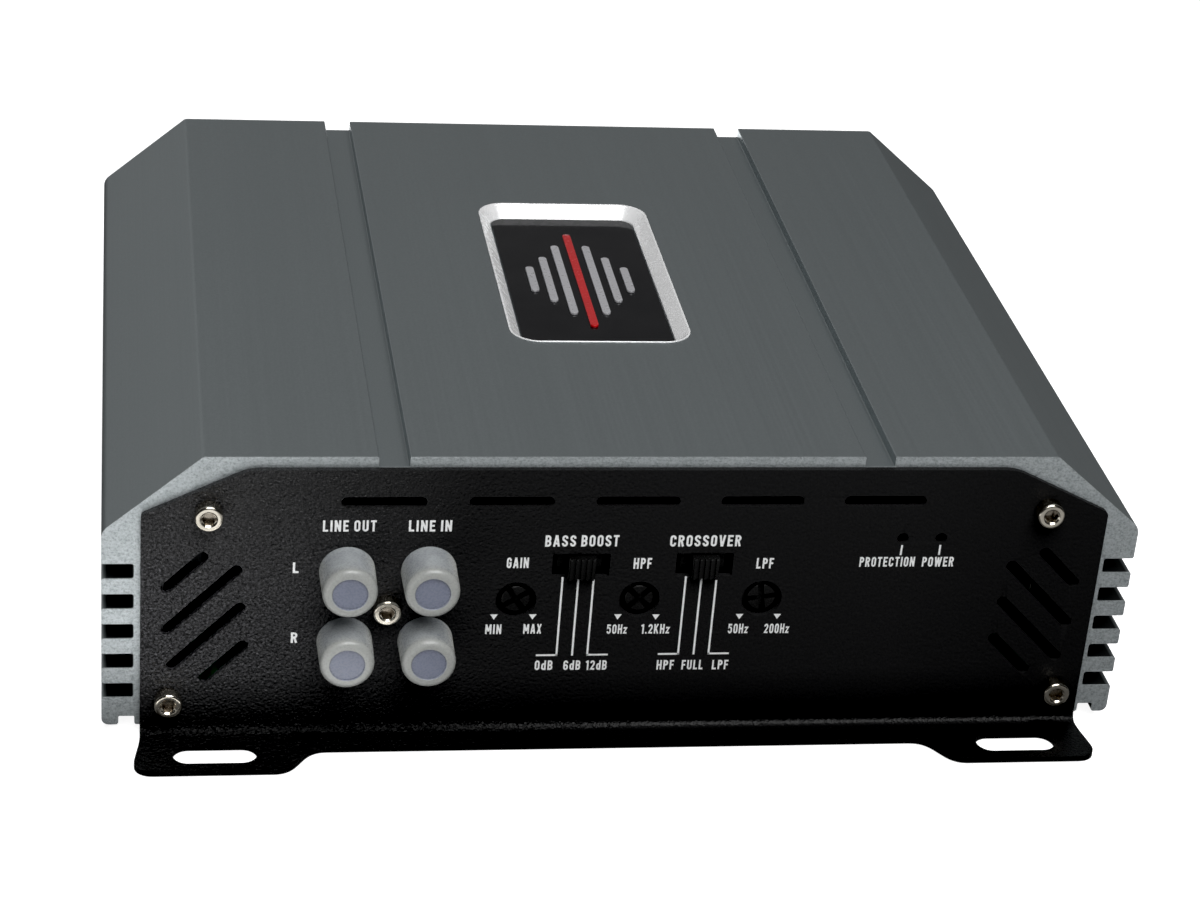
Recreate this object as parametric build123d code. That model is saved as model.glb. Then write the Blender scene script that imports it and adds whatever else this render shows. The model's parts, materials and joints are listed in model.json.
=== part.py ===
from build123d import *
import os
from math import atan2, degrees, hypot, radians, sin, tan

# Two-channel car amplifier: extruded aluminium heatsink shell, bent steel end
# plates with slotted feet, control panel and phono jacks at the front (-Y),
# supply terminals, fuse and speaker terminals at the rear (+Y).
# Millimetres. +Z up, origin at the centre of the footprint on the mounting plane.

os.makedirs("parts", exist_ok=True)

# --------------------------------------------------------- shared dimensions
WIDTH = 200.0             # of the shell
LENGTH = 166.0            # of the extrusion
TOP_Z = 60.2              # top face of the shell
WALL_IN = 88.5            # half width of the inner space
SHEET = 1.2               # steel sheet of the end plates and bottom cover
FRONT_IN = -LENGTH / 2    # front end of the extrusion, inner face of the front plate
FRONT_OUT = FRONT_IN - SHEET
REAR_IN = LENGTH / 2
REAR_OUT = REAR_IN + SHEET

SCREW_UP = (80.4, 49.4)   # x, z of the upper end plate screws
SCREW_LO = (87.5, 8.7)    # x, z of the lower end plate screws
CHANNEL_R = 1.55          # screw channels of the extrusion

COVER_Z0 = 3.05
COVER_Z1 = COVER_Z0 + SHEET
PCB_Z0 = 10.4
PCB_Z1 = PCB_Z0 + 1.6
PIN_END_Z = PCB_Z1 + 0.02             # leads stop just above the main board
PIN_PITCH = 2.54
STANDOFFS = [(x, y) for x in (-75.0, 0.0, 75.0) for y in (-60.0, 60.0)]
STANDOFF_HOLE_R = 1.65
PREAMP_Y0, PREAMP_Y1 = -74.6, -73.0   # upright board behind the front plate
PIN_END_Y = PREAMP_Y0 - 0.03          # leads stop just short of the preamp board

BADGE_Y, BADGE_W, BADGE_L, BADGE_R = 1.2, 37.4, 70.0, 6.0
BEZEL_DEPTH, BEZEL_SLOPE = 2.5, 2.75
BADGE_GAP = 0.3           # between the badge plate and the foot of the bezel
BADGE_T = 0.6
BADGE_Z = TOP_Z - BEZEL_DEPTH         # face of the badge plate
POCKET_Z = BADGE_Z - BADGE_T - 0.05
BADGE_Z0 = POCKET_Z + 0.02            # underside of bezel and badge plate

JACK_X, JACK_Z, JACK_PITCH = -46.7, 28.9, 15.4    # centre and pitch of the four jacks
JACKS = [
    (JACK_X + dx * JACK_PITCH / 2, JACK_Z + dz * JACK_PITCH / 2)
    for dz in (1, -1) for dx in (-1, 1)
]
JACK_NAMES = ("line_out_left", "line_in_left", "line_out_right", "line_in_right")
POTS = (("gain", -22.0, 32.5), ("hpf", 1.9, 45.0), ("lpf", 25.9, 8.0))  # name, x, cross angle
POT_Z = 29.9
SWITCHES = (("bass_boost", -9.95), ("crossover", 13.95))                # name, x
SWITCH_Z = 37.5
LEDS = (("protection_led", 52.4), ("power_led", 60.0))                  # name, x
LED_Z = 43.1

# name, centre x, count, pitch, screw hole radius, contact width, shank radius, head radius
TERMINALS = (
    ("power", -58.0, 3, 13.0, 2.0, 9.4, 1.95, 3.9),
    ("speaker", 45.0, 4, 12.0, 1.75, 8.4, 1.7, 3.4),
)
TERM_Z, TERM_H = 25.0, 17.0
TERM_SCREW_Z = TERM_Z - 1.0
BARRIER_T = 2.4           # walls between the terminals
FUSE_X, FUSE_Z = -16.0, 25.0
HOLDER_W, HOLDER_H = 13.0, 26.0
REAR_BODY_Y = 70.6        # inner end of the rear connector bodies

SIDES = (-1, 1)


# ------------------------------------------------------------------- helpers
def row(centre, count, pitch):
    """Evenly pitched positions about a centre."""
    return [centre + (i - (count - 1) / 2) * pitch for i in range(count)]


def box(x0, x1, y0, y1, z0, z1):
    return Pos((x0 + x1) / 2, (y0 + y1) / 2, (z0 + z1) / 2) * Box(
        abs(x1 - x0), abs(y1 - y0), abs(z1 - z0)
    )


def bar_y(x, z, width, height, y0, y1):
    """Box centred on (x, z) between two Y values."""
    return box(x - width / 2, x + width / 2, y0, y1, z - height / 2, z + height / 2)


def cyl_y(x, z, radius, y0, y1):
    return Pos(x, (y0 + y1) / 2, z) * Rot(90, 0, 0) * Cylinder(radius, abs(y1 - y0))


def cyl_x(y, z, radius, x0, x1):
    return Pos((x0 + x1) / 2, y, z) * Rot(0, 90, 0) * Cylinder(radius, abs(x1 - x0))


def cyl_z(x, y, radius, z0, z1):
    return Pos(x, y, (z0 + z1) / 2) * Cylinder(radius, abs(z1 - z0))


def outline(points):
    """Closed face from (x, y, corner radius) points."""
    count = len(points)
    corners = []          # start, middle (None if sharp) and end of each corner
    for i, (x, y, radius) in enumerate(points):
        point = Vector(x, y)
        if radius <= 0:
            corners.append((point, None, point))
            continue
        back = (Vector(*points[i - 1][:2]) - point).normalized()
        ahead = (Vector(*points[(i + 1) % count][:2]) - point).normalized()
        half_angle = radians(back.get_angle(ahead)) / 2
        setback = radius / tan(half_angle)
        to_middle = (back + ahead).normalized() * (radius / sin(half_angle) - radius)
        corners.append((point + back * setback, point + to_middle, point + ahead * setback))
    edges = []
    for i, (start, middle, end) in enumerate(corners):
        if middle is not None:
            edges.append(ThreePointArc(start, middle, end))
        following = corners[(i + 1) % count][0]
        if (following - end).length > 1e-6:
            edges.append(Line(end, following))
    return make_face(edges)


def mirrored(half):
    """Right half of an outline followed by its mirror image in reverse."""
    return half + [(-x, z, radius) for x, z, radius in reversed(half)]


def cross(length, width):
    return Rectangle(length, width) + Rectangle(width, length)


def along_y(face, y0, y1):
    """Extrude an X-Z outline from y0 up to y1."""
    return extrude(Plane.XZ.offset(-y1) * face, amount=y1 - y0)


def along_z(face, z0, z1):
    return extrude(Plane.XY.offset(z0) * face, amount=z1 - z0)


def round_end(body, axis, out, radius):
    """Fillet the circular rim at the low (out = -1) or high (out = 1) end."""
    rims = body.edges().filter_by(GeomType.CIRCLE).sort_by(axis)
    return fillet(rims[0 if out < 0 else -1], radius)


def badge_outline(inset=0.0):
    return Pos(0, BADGE_Y) * RectangleRounded(
        BADGE_W - 2 * inset, BADGE_L - 2 * inset, BADGE_R - inset
    )


def save(name, *shapes):
    solids = [solid for shape in shapes for solid in shape.solids()]
    export_step(solids[0] if len(solids) == 1 else Compound(solids), f"parts/{name}.step")


# --------------------------------------------------------------------- shell
TOP_X = 81.5              # half width of the flat top
SHOULDER_Z = 44.6         # lower end of the sloping shoulder
TOP_IN = 56.0             # underside of the top wall
SLOPE_T = 6.0             # thickness of the sloping wall
SHELL_Z0 = 2.2            # bottom of the side walls
LIP_X, LIP_Z0, LIP_Z1 = 90.7, 2.95, 4.35          # notch that holds the cover's edge
FOOT_X0, FOOT_X1, FOOT_Z = 93.8, 96.8, 4.1        # groove under the side wall
GROOVE_X0, GROOVE_X1, GROOVE_D = 43.4, 49.2, 2.15
FIN_TOP, FIN_PITCH, FIN_GAP, FIN_DEPTH, FIN_N = 37.7, 6.54, 3.2, 6.0, 5
RIB_OFFSET = 2.4          # from the upper channel towards the sloping wall
CLAMP_Y = row(2.0, 4, 32.0)           # clamp screws, either side of each transistor
CLAMP_Z = 27.0


def heatsink_shell():
    half_width = WIDTH / 2
    rise, run = TOP_Z - SHOULDER_Z, half_width - TOP_X
    slope_len = hypot(rise, run)
    normal_x, normal_z = rise / slope_len, run / slope_len
    # normal_x * x + normal_z * z = reach on the inner face of the sloping wall
    reach = normal_x * TOP_X + normal_z * TOP_Z - SLOPE_T
    inner = [
        ((reach - normal_z * TOP_IN) / normal_x, TOP_IN, 1.0),
        (WALL_IN, (reach - normal_x * WALL_IN) / normal_z, 1.0),
        (WALL_IN, LIP_Z1, 0),
        (LIP_X, LIP_Z1, 0),
        (LIP_X, LIP_Z0, 0),
        (WALL_IN, LIP_Z0, 0),
    ]
    foot = [
        (WALL_IN, SHELL_Z0, 0.3),
        (FOOT_X0, SHELL_Z0, 0.5),
        (FOOT_X0, FOOT_Z, 0.2),
        (FOOT_X1, FOOT_Z, 0.2),
        (FOOT_X1, SHELL_Z0, 0.6),
        (half_width, SHELL_Z0, 1.4),
    ]
    fins = []
    for i in reversed(range(FIN_N)):
        gap_top = FIN_TOP - FIN_PITCH * i
        fins += [
            (half_width, gap_top - FIN_GAP, 0.4),
            (half_width - FIN_DEPTH, gap_top - FIN_GAP, 0.5),
            (half_width - FIN_DEPTH, gap_top, 0.5),
            (half_width, gap_top, 0.4),
        ]
    top = [
        (half_width, SHOULDER_Z, 3.0),
        (TOP_X, TOP_Z, 1.2),
        (GROOVE_X1, TOP_Z, 0.25),
        (GROOVE_X1, TOP_Z - GROOVE_D, 0.3),
        (GROOVE_X0, TOP_Z - GROOVE_D, 0.3),
        (GROOVE_X0, TOP_Z, 0.25),
    ]
    profile = outline(mirrored(inner + foot + fins + top))

    up_x, up_z = SCREW_UP
    low_x, low_z = SCREW_LO
    for side in SIDES:
        rib_at = Pos(side * (up_x + normal_x * RIB_OFFSET), up_z + normal_z * RIB_OFFSET)
        tilt = Rot(0, 0, side * degrees(atan2(normal_z, normal_x)))
        profile += Pos(side * up_x, up_z) * Circle(3.7) + rib_at * tilt * Rectangle(5.4, 4.4)
        profile += Pos(side * low_x, low_z) * Circle(3.5)
    for side in SIDES:
        for x, z in (SCREW_UP, SCREW_LO):
            profile -= Pos(side * x, z) * Circle(CHANNEL_R)
            profile -= Pos(side * (x - 2.4), z) * Rectangle(4.0, 1.0)

    shell = along_y(profile, FRONT_IN, REAR_IN)
    shell -= along_z(badge_outline(-0.05), POCKET_Z, TOP_Z + 1)
    for side in SIDES:
        for y in CLAMP_Y:
            shell -= cyl_x(y, CLAMP_Z, CHANNEL_R, side * (WALL_IN - 0.5), side * 93.0)
    return shell


save("heatsink_shell", heatsink_shell())

# ---------------------------------------------------------------- end plates
PLATE_X = 92.8            # half width of an end plate
PLATE_CZ = 48.65          # where the plate's side turns into its slope
FRONT_TOP = (73.1, 58.1)  # x, z of the upper corner
REAR_TOP = (75.0, 57.2)   # the rear plate stops below the groove floors
BEND_IN = 1.6             # inside radius of the foot bend
BEND_OUT = BEND_IN + SHEET
EAR_X, EAR_D = 93.9, 14.7             # half width over the ears, reach of the ears
EAR_X0, MID_X, MID_D = 67.9, 57.4, 7.5    # ear's inner end; flange between the ears
FOOT_X, FOOT_Y = 78.7, 92.2           # centres of the mounting slots
FOOT_SLOT_L, FOOT_SLOT_W = 16.0, 6.0
VENT_Z, VENT_L, VENT_W = 51.3, 16.0, 2.2
# x, z, length of the diagonal vents
DIAG = ((84.7, 36.4, 11.6), (81.5, 30.4, 20.4), (80.6, 22.4, 20.0), (77.2, 16.8, 12.2))
DIAG_W = 2.2


def plate_opening(face):
    """Cutter through the front plate."""
    return along_y(face, FRONT_OUT - 1, FRONT_IN + 1)


def plate_hole(x, z, radius):
    return cyl_y(x, z, radius, FRONT_OUT - 1, FRONT_IN + 1)


def foot_plan():
    """Outline of the foot seen from above, with an ear at each end."""
    ear_y, mid_y = FRONT_IN - EAR_D, FRONT_IN - MID_D
    edges = []
    for side in SIDES:
        neck = (side * PLATE_X, FRONT_IN - 2.2)
        tip = (side * EAR_X, FRONT_IN - 10.8)
        corner = (side * (EAR_X - 3.6), ear_y)
        ear_end, mid_end = (side * EAR_X0, ear_y), (side * MID_X, mid_y)
        edges += [
            Line((side * PLATE_X, FRONT_IN), neck),
            Spline([neck, tip], tangents=[(0, -1), (side * 0.12, -1)]),
            Spline([tip, corner], tangents=[(side * 0.12, -1), (-side, 0)]),
            Line(corner, ear_end),
            Spline([ear_end, mid_end], tangents=[(-side, 0), (-side, 0)]),
            Line(mid_end, (0, mid_y)),
        ]
    edges.append(Line((-PLATE_X, FRONT_IN), (PLATE_X, FRONT_IN)))
    return make_face(edges)


def end_plate(top_corner):
    """Plate at the front end: web, foot bend, slotted flange, screw holes and vents."""
    web = outline(
        mirrored([(PLATE_X, BEND_OUT, 0), (PLATE_X, PLATE_CZ, 1.4), (*top_corner, 10.0)])
    )
    web = along_y(web, FRONT_OUT, FRONT_IN)
    bend_y = FRONT_IN - BEND_OUT      # centre of the bend
    flange_y = FRONT_IN - 20          # beyond the foot plan, trimmed by it
    diagonal = 0.5 ** 0.5
    out_mid = (bend_y + BEND_OUT * diagonal, BEND_OUT * (1 - diagonal))
    in_mid = (bend_y + BEND_IN * diagonal, BEND_OUT - BEND_IN * diagonal)
    bend = make_face(
        [
            ThreePointArc((FRONT_IN, BEND_OUT), out_mid, (bend_y, 0)),
            Line((bend_y, 0), (flange_y, 0)),
            Line((flange_y, 0), (flange_y, SHEET)),
            Line((flange_y, SHEET), (bend_y, SHEET)),
            ThreePointArc((bend_y, SHEET), in_mid, (FRONT_OUT, BEND_OUT)),
            Line((FRONT_OUT, BEND_OUT), (FRONT_IN, BEND_OUT)),
        ]
    )
    bend = extrude(Plane.YZ.offset(-110) * bend, amount=220)
    flange = bend & along_z(foot_plan(), -1, 5)
    for side in SIDES:
        slot = SlotOverall(FOOT_SLOT_L, FOOT_SLOT_W)
        flange -= along_z(Pos(side * FOOT_X, -FOOT_Y) * slot, -1, 5)
    plate = web + flange
    for x, z in (SCREW_UP, SCREW_LO):
        for side in SIDES:
            plate -= plate_hole(side * x, z, 1.7)
    for x in row(0.0, 5, 24.0):
        plate -= plate_opening(Pos(x, VENT_Z) * SlotOverall(VENT_L, VENT_W))
    for x, z, length in DIAG:
        for side in SIDES:
            slot = Rot(0, 0, -side * 45) * SlotOverall(length, DIAG_W)
            plate -= plate_opening(Pos(side * x, z) * slot)
    return plate


def front_end_plate():
    plate = end_plate(FRONT_TOP)
    for x, z in JACKS:
        plate -= plate_hole(x, z, 4.9)
    plate -= plate_hole(JACK_X, JACK_Z, 1.7)
    for _, x, _ in POTS:
        plate -= plate_hole(x, POT_Z, 3.9)
    for _, x in SWITCHES:
        plate -= plate_opening(Pos(x, SWITCH_Z) * RectangleRounded(11.0, 5.0, 0.3))
    for _, x in LEDS:
        plate -= plate_hole(x, LED_Z, 1.1)
    return plate


def rear_end_plate():
    plate = Rot(0, 0, 180) * end_plate(REAR_TOP)
    openings = [
        (x, TERM_Z, count * pitch + BARRIER_T, TERM_H) for _, x, count, pitch, *_ in TERMINALS
    ]
    openings.append((FUSE_X, FUSE_Z, HOLDER_W, HOLDER_H))
    for x, z, width, height in openings:
        opening = Pos(x, z) * RectangleRounded(width + 0.3, height + 0.3, 0.6)
        plate -= along_y(opening, REAR_IN - 1, REAR_OUT + 1)
    return plate


save("front_end_plate", front_end_plate())
save("rear_end_plate", rear_end_plate())

# -------------------------------------------------------------- bottom cover
cover = box(-90.4, 90.4, FRONT_IN + 0.1, REAR_IN - 0.1, COVER_Z0, COVER_Z1)
for x in row(0.0, 5, 30.0):
    for y in row(0.0, 5, 18.0):
        cover -= along_z(Pos(x, y) * SlotOverall(18, 3), 2, 6)
for x, y in STANDOFFS:
    cover -= cyl_z(x, y, STANDOFF_HOLE_R, 2, 6)
save("bottom_cover", cover)

# ---------------------------------------------------------- end plate screws
SCREW_R, HEAD_R, HEAD_H, WASHER_H = 1.5, 2.65, 2.7, 0.4
HEX_R, HEX_DEPTH = 1.45, 1.7


def cap_screw(x, z, y, out, length):
    """Socket head cap screw over a washer on face y; out is -1 for a head towards -Y."""
    seat = y + out * WASHER_H
    end = seat + out * HEAD_H
    head = round_end(cyl_y(x, z, HEAD_R, seat, end), Axis.Y, out, 0.5)
    depth = sorted((end, end - out * HEX_DEPTH))
    socket = along_y(Pos(x, z) * RegularPolygon(HEX_R, 6), *depth)
    lead_in = Cone(1.35, 1.65, 0.3) if out > 0 else Cone(1.65, 1.35, 0.3)
    socket += Pos(x, end - out * 0.15, z) * Rot(-90, 0, 0) * lead_in
    return head - socket + cyl_y(x, z, SCREW_R, seat, y - out * length)


def lock_washer(x, z, y, out):
    """Split ring standing on face y."""
    low, high = sorted((y, y + out * WASHER_H))
    ring = cyl_y(x, z, 2.45, low, high) - cyl_y(x, z, 1.62, low - 1, high + 1)
    return ring - box(x + 1.2, x + 3.2, low - 1, high + 1, z - 0.2, z + 0.2)


places = [
    (side * x, z, y, out)
    for out, y in ((-1, FRONT_OUT), (1, REAR_OUT))
    for x, z in (SCREW_UP, SCREW_LO)
    for side in SIDES
]
jack_screw = (JACK_X, JACK_Z, FRONT_OUT, -1)
save("end_plate_screws", *[cap_screw(*place, 11.0) for place in places])
save("screw_lock_washers", *[lock_washer(*place) for place in places + [jack_screw]])
save("jack_block_screw", cap_screw(*jack_screw, 9.0))

# --------------------------------------------------------------------- badge
BEZEL_TOP = TOP_Z + 0.15
EMBLEM_LENGTHS = (12.0, 22.0, 34.0, 46.0, 34.0, 22.0, 12.0)
EMBLEM_PITCH, EMBLEM_W = 3.4, 1.7

bezel = along_z(badge_outline(), BADGE_Z0, BEZEL_TOP)
mouth = loft(
    [
        Plane.XY.offset(BADGE_Z) * badge_outline(BEZEL_SLOPE),
        Plane.XY.offset(BEZEL_TOP) * badge_outline(0.35),
    ]
)
bezel = bezel - mouth - along_z(badge_outline(BEZEL_SLOPE), POCKET_Z - 1, BADGE_Z)
save("badge_bezel", bezel)
save("badge_plate", along_z(badge_outline(BEZEL_SLOPE + BADGE_GAP), BADGE_Z0, BADGE_Z))

bars = []
for x, length in zip(row(0.0, len(EMBLEM_LENGTHS), EMBLEM_PITCH), EMBLEM_LENGTHS):
    bar = Pos(x, BADGE_Y) * Rot(0, 0, 90) * SlotOverall(length, EMBLEM_W)
    bars.append(along_z(bar, BADGE_Z + 0.01, BADGE_Z + 0.45))
save("badge_accent_bar", bars.pop(3))     # the middle, longest bar
save("badge_emblem_bars", *bars)

# ------------------------------------------------------------ circuit boards
CHIPS = ((20.0, -50.0, 10.0), (44.0, -50.0, 10.0), (-6.0, -30.0, 19.0))   # x, y, length
CHIP_W = 6.5

board = box(-83.2, 83.2, -80.0, 70.0, PCB_Z0, PCB_Z1)
for x, y in STANDOFFS:
    board -= cyl_z(x, y, STANDOFF_HOLE_R, PCB_Z0 - 1, PCB_Z1 + 1)
save("main_circuit_board", board)
save("preamp_board", box(-29.0, 66.0, PREAMP_Y0, PREAMP_Y1, 15.0, 47.5))

header = box(-14.0, 16.0, PREAMP_Y1 + 0.02, PREAMP_Y1 + 5.0, PCB_Z1 + 0.05, 17.5)
for i in range(11):
    x = -12 + PIN_PITCH * i
    header += box(x - 0.32, x + 0.32, PREAMP_Y1 + 2.0, PREAMP_Y1 + 2.64, PIN_END_Z, 19.0)
save("board_header", header)


def standoff(x, y):
    post = along_z(Pos(x, y) * RegularPolygon(3.2, 6), COVER_Z1 + 0.02, PCB_Z0 - 0.02)
    return post - cyl_z(x, y, 1.55, 2, 12)


def board_screw(x, y, head_z, shank_z, slot_z):
    """Slotted screw along Z, from the Z ranges of its head, shank and slot."""
    screw = cyl_z(x, y, 2.8, *head_z) + cyl_z(x, y, 1.5, *shank_z)
    return screw - box(x - 1.9, x + 1.9, y - 0.35, y + 0.35, *slot_z)


def standoff_screws(x, y):
    """One screw down through the board, one up through the cover."""
    seat, top = PCB_Z1 + 0.02, PCB_Z1 + 2.1
    upper = board_screw(x, y, (seat, top), (PCB_Z0 - 2.6, seat), (top - 0.9, top + 1))
    low = COVER_Z0 - 0.72
    lower = board_screw(
        x, y, (low, COVER_Z0 - 0.02), (low, COVER_Z1 + 2.6), (low - 1, low + 0.4)
    )
    return [upper, lower]


def control_chip(x, y, length):
    """Chip with two rows of bent leads."""
    chip = box(
        x - length / 2, x + length / 2, y - CHIP_W / 2, y + CHIP_W / 2, PCB_Z1 + 0.6, PCB_Z1 + 4.0
    )
    for lead_x in row(x, int(length // PIN_PITCH), PIN_PITCH):
        x0, x1 = lead_x - 0.3, lead_x + 0.3
        for side in SIDES:
            start, knee, end = [y + side * (CHIP_W / 2 + dy) for dy in (-0.3, 0.4, 0.7)]
            lead = box(x0, x1, start, end, PCB_Z1 + 1.9, PCB_Z1 + 2.3)
            lead += box(x0, x1, knee, end, PIN_END_Z, PCB_Z1 + 2.3)
            chip += lead
    return chip


save("board_standoffs", *[standoff(x, y) for x, y in STANDOFFS])
save("board_screws", *[screw for x, y in STANDOFFS for screw in standoff_screws(x, y)])
save("control_chips", *[control_chip(*chip) for chip in CHIPS])

# --------------------------------------------------------------- phono jacks
JACK_R = 4.15
JACK_TIP = FRONT_OUT - 6.9            # front end of the jack shells
JACK_END = FRONT_IN + 7.9             # their inner end
CAP_R0, CAP_R1, CAP_LEN, CAP_IN = 5.28, 5.16, 8.9, 4.2
CAP_DISC_R, CAP_DISC_D = 3.25, 0.4    # shallow round recess in the cap end


def jack_housing():
    reach = JACK_PITCH / 2 + 8.0
    housing = box(
        JACK_X - reach, JACK_X + reach, FRONT_IN + 0.03, FRONT_IN + 13.0,
        PCB_Z1 + 0.05, JACK_Z + reach,
    )
    for x, z in JACKS:
        housing += cyl_y(x, z, 4.8, FRONT_OUT + 0.1, FRONT_IN + 1)
    for x, z in JACKS:
        housing -= cyl_y(x, z, JACK_R + 0.02, FRONT_OUT - 1, FRONT_IN + 8.0)
    return housing - cyl_y(JACK_X, JACK_Z, 1.55, FRONT_OUT - 1, FRONT_IN + 11.0)


def jack_tubes(outer, inner, y0, y1, bore_y0, bore_y1):
    """The same bored cylinder at each of the four jacks."""
    return [
        cyl_y(x, z, outer, y0, y1) - cyl_y(x, z, inner, bore_y0, bore_y1) for x, z in JACKS
    ]


def jack_cap(x, z):
    base = FRONT_OUT - 0.1
    end = base - CAP_LEN
    cap = Pos(x, (base + end) / 2, z) * Rot(90, 0, 0) * Cone(CAP_R0, CAP_R1, CAP_LEN)
    cap = round_end(cap, Axis.Y, -1, 1.1)
    cap -= cyl_y(x, z, CAP_DISC_R, end - 1, end + CAP_DISC_D)
    cap -= cyl_y(x, z, CAP_IN, JACK_TIP - 1.0, FRONT_OUT + 1)
    recess_rim = cap.edges().filter_by(GeomType.CIRCLE).filter_by(
        lambda e: abs(e.radius - CAP_DISC_R) < 0.01 and abs(e.center().Y - end) < 0.05
    )
    return fillet(recess_rim, 0.25)


bore_end = FRONT_IN + 9
save("rca_jack_housing", jack_housing())
save("rca_jack_shells", *jack_tubes(JACK_R, 3.5, JACK_TIP, JACK_END, JACK_TIP - 1, bore_end))
save("rca_jack_insulators", *jack_tubes(3.46, 2.04, JACK_TIP + 1.2, JACK_END, JACK_TIP, bore_end))
save(
    "rca_center_contacts",
    *jack_tubes(2.0, 1.62, JACK_TIP + 1.0, FRONT_IN + 7.5, JACK_TIP, FRONT_IN + 5.5),
)
for (x, z), name in zip(JACKS, JACK_NAMES):
    save(name + "_cap", jack_cap(x, z))

# ----------------------------------------------------- controls on the panel
ROTOR_R = 2.8


def pot_housing(x):
    body = box(x - 4.8, x + 4.8, FRONT_IN + 0.6, PIN_END_Y, POT_Z - 5.4, POT_Z + 3.42)
    body -= cyl_y(x, POT_Z, ROTOR_R + 0.05, FRONT_IN, FRONT_IN + 5.0)
    for lead_x in row(x, 3, 2.5):
        body += box(
            lead_x - 0.4, lead_x + 0.4, PREAMP_Y0 - 1.2, PIN_END_Y, POT_Z - 7.4, POT_Z - 5.2
        )
    return body


def pot_rotor(x, angle):
    rotor = cyl_y(x, POT_Z, ROTOR_R, FRONT_IN - 0.75, FRONT_IN + 4.9)
    rotor = round_end(rotor, Axis.Y, -1, 0.25)
    slot = Pos(x, POT_Z) * Rot(0, 0, angle) * cross(8.0, 1.15)
    return rotor - along_y(slot, FRONT_IN - 2, FRONT_IN + 0.55)


SWITCH_Y0, SWITCH_Y1 = FRONT_IN + 0.3, FRONT_IN + 5.6


def switch_frame(x):
    z = SWITCH_Z
    frame = bar_y(x, z, 15.2, 7.8, SWITCH_Y0, SWITCH_Y1)
    frame -= bar_y(x, z, 14.0, 6.6, SWITCH_Y0 + 0.6, SWITCH_Y1 - 1.2)
    frame -= bar_y(x, z, 10.6, 4.8, SWITCH_Y0 - 1, SWITCH_Y0 + 1)
    for dx in (-4.0, -1.3, 1.3, 4.0):
        frame += bar_y(x + dx, z - 2.4, 0.7, 0.4, SWITCH_Y1 - 0.2, PIN_END_Y)
    return frame


def switch_slider(x):
    """Flat slide with a ribbed lever through the plate."""
    z0, z1 = SWITCH_Z - 2.25, SWITCH_Z + 2.2
    slider = bar_y(x, SWITCH_Z, 8.8, 6.4, SWITCH_Y0 + 0.65, SWITCH_Y0 + 1.6)
    slider += box(x - 2.6, x + 2.6, FRONT_OUT - 1.5, SWITCH_Y0 + 1.0, z0, z1)
    for rib_x in row(x, 5, 1.06):
        slider += box(rib_x - 0.24, rib_x + 0.24, FRONT_OUT - 2.0, FRONT_OUT - 1.4, z0, z1)
    return slider


def led(x):
    dome_y = FRONT_IN + 2.2
    base_y = FRONT_IN + 4.6
    lens = cyl_y(x, LED_Z, 1.5, dome_y, base_y) + Pos(x, dome_y, LED_Z) * Sphere(1.5)
    lens += cyl_y(x, LED_Z, 1.9, FRONT_IN + 3.8, base_y)
    for side in SIDES:
        lens += cyl_y(x + side * 1.143, LED_Z, 0.25, FRONT_IN + 4.0, PIN_END_Y)
    return lens


save("potentiometer_housings", *[pot_housing(x) for _, x, _ in POTS])
for name, x, angle in POTS:
    save(name + "_rotor", pot_rotor(x, angle))
for name, x in SWITCHES:
    save(name + "_switch_frame", switch_frame(x))
    save(name + "_slider", switch_slider(x))
for name, x in LEDS:
    save(name, led(x))

# ------------------------------------------------------- power supply inside
CORE_X, CORE_Y, CORE_R, CORE_BORE = -22.0, 18.0, 16.0, 9.0
CORE_Z0, CORE_Z1 = PCB_Z1 + 3.0, PCB_Z1 + 17.0
CORE_TURNS = 24
CHOKE_X, CHOKE_Y, CHOKE_Z = -58.0, -22.0, PCB_Z1 + 14.0
CHOKE_TURNS = 14

core = cyl_z(CORE_X, CORE_Y, CORE_R, CORE_Z0, CORE_Z1)
core -= cyl_z(CORE_X, CORE_Y, CORE_BORE, CORE_Z0 - 1, CORE_Z1 + 1)
save("transformer_core", core)
turn = box(CORE_BORE - 2, CORE_R + 2, -0.85, 0.85, CORE_Z0 - 1.9, CORE_Z1 + 1.9) - box(
    CORE_BORE - 0.05, CORE_R + 0.05, -2, 2, CORE_Z0 - 0.05, CORE_Z1 + 0.05
)
save("transformer_winding", *[
    Pos(CORE_X, CORE_Y, 0) * Rot(0, 0, i * 360 / CORE_TURNS) * turn for i in range(CORE_TURNS)
])

choke = cyl_x(CHOKE_Y, CHOKE_Z, 12.0, CHOKE_X - 4.5, CHOKE_X + 4.5)
choke -= cyl_x(CHOKE_Y, CHOKE_Z, 6.0, CHOKE_X - 9, CHOKE_X + 9)
save("choke_core", choke)
turn = box(-6.0, 6.0, -0.8, 0.8, 4.6, 13.6) - box(-4.6, 4.6, -2, 2, 5.8, 12.1)
save("choke_winding", *[
    Pos(CHOKE_X, CHOKE_Y, CHOKE_Z) * Rot(i * 360 / CHOKE_TURNS, 0, 0) * turn
    for i in range(CHOKE_TURNS)
])


def capacitor(x, y, radius, height):
    """Upright can with a groove near its foot and a cross scored in its top."""
    top = PCB_Z1 + height
    can = cyl_z(x, y, radius, PCB_Z1 + 0.03, top)
    rims = can.edges().filter_by(GeomType.CIRCLE).sort_by(Axis.Z)
    can = fillet([rims[0], rims[-1]], 0.7)
    groove = cyl_z(x, y, radius + 1, PCB_Z1 + 3.0, PCB_Z1 + 4.0)
    groove -= cyl_z(x, y, radius - 0.5, PCB_Z1, PCB_Z1 + 6)
    can -= groove
    return can - along_z(Pos(x, y) * cross(radius * 1.2, 0.6), top - 0.4, top + 1)


save("supply_capacitors", *[capacitor(-58.0, y, 8.0, 34.0) for y in (8.0, 28.0)])
save("rail_capacitors", *[
    capacitor(x, y, 6.3, 26.0) for x in (14.0, 34.0, 54.0) for y in (0.0, 24.0)
])

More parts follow.
